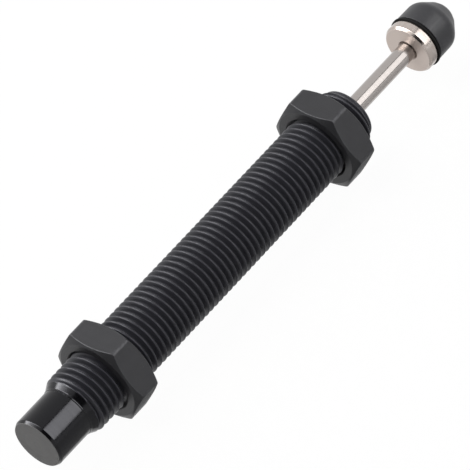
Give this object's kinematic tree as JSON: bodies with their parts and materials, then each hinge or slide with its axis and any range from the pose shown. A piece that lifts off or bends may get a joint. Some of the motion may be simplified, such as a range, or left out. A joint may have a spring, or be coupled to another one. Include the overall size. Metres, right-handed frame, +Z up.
{
  "type": "industrial shock absorber",
  "caption": "Threaded-body hydraulic shock absorber with hexagon lock nuts, a plain closed rear neck, and a spring-returned polished rod that carries a steel button and black bumper cap.",
  "frame": {"origin": "on the long axis, at the clamping face of the front lock nut", "axes": "+X along the axis towards the bumper cap, +Z up from a flat of the lock nuts, +Y completes a right-handed frame"},
  "size_m": [0.132, 0.0214, 0.0188],
  "materials": {
    "black_body": "black oxide on turned and threaded steel",
    "black_nut": "satin black oxide on a hexagon nut",
    "polished_rod": "ground and polished hard chrome",
    "steel_button": "turned satin stainless steel",
    "black_elastomer": "matte moulded elastomer",
    "guide_aluminium": "turned",
    "bush_bronze": "bronze",
    "seal_elastomer": "moulded seal rubber",
    "white_polymer": "turned polymer",
    "grey_foam": "closed-cell foam",
    "turned_steel": "turned steel",
    "spring_steel": "drawn spring wire",
    "bearing_ball": "polished ball"
  },
  "bodies": {
    "housing": {"outer_body": "black_body", "rod_guide": "guide_aluminium", "guide_bush": "bush_bronze", "rod_wiper": "seal_elastomer", "rod_seal": "seal_elastomer", "seal_backup_washer": "white_polymer", "body_o_ring": "seal_elastomer", "foam_carrier": "guide_aluminium", "accumulator_foam": "grey_foam", "pressure_tube": "turned_steel", "tube_end_plug": "turned_steel", "return_spring": "spring_steel"},
    "rod": {"piston_rod": "polished_rod", "bumper_base": "steel_button", "bumper_cap": "black_elastomer", "piston": "turned_steel", "piston_ring": "bush_bronze", "ball_retainer": "turned_steel"},
    "check_ball": {"check_ball": "bearing_ball"},
    "front_nut": {"front_lock_nut": "black_nut"},
    "rear_nut": {"rear_lock_nut": "black_nut"}
  },
  "joints": [
    {"name": "rod_stroke", "type": "slide", "parent": "housing", "child": "rod", "axis": [-1, 0, 0], "range_m": [0, 0.02], "stiffness_N_per_m": 400, "springref_m": -0.0125, "deforming": ["return_spring"]},
    {"name": "check_ball_lift", "type": "slide", "parent": "rod", "child": "check_ball", "axis": [-1, 0, 0], "range_m": [0, 0.0004]},
    {"name": "front_nut_travel", "type": "slide", "parent": "housing", "child": "front_nut", "axis": [1, 0, 0], "range_m": [-0.03, 0.0015]},
    {"name": "rear_nut_travel", "type": "slide", "parent": "housing", "child": "rear_nut", "axis": [1, 0, 0], "range_m": [-0.006, 0.03]}
  ]
}
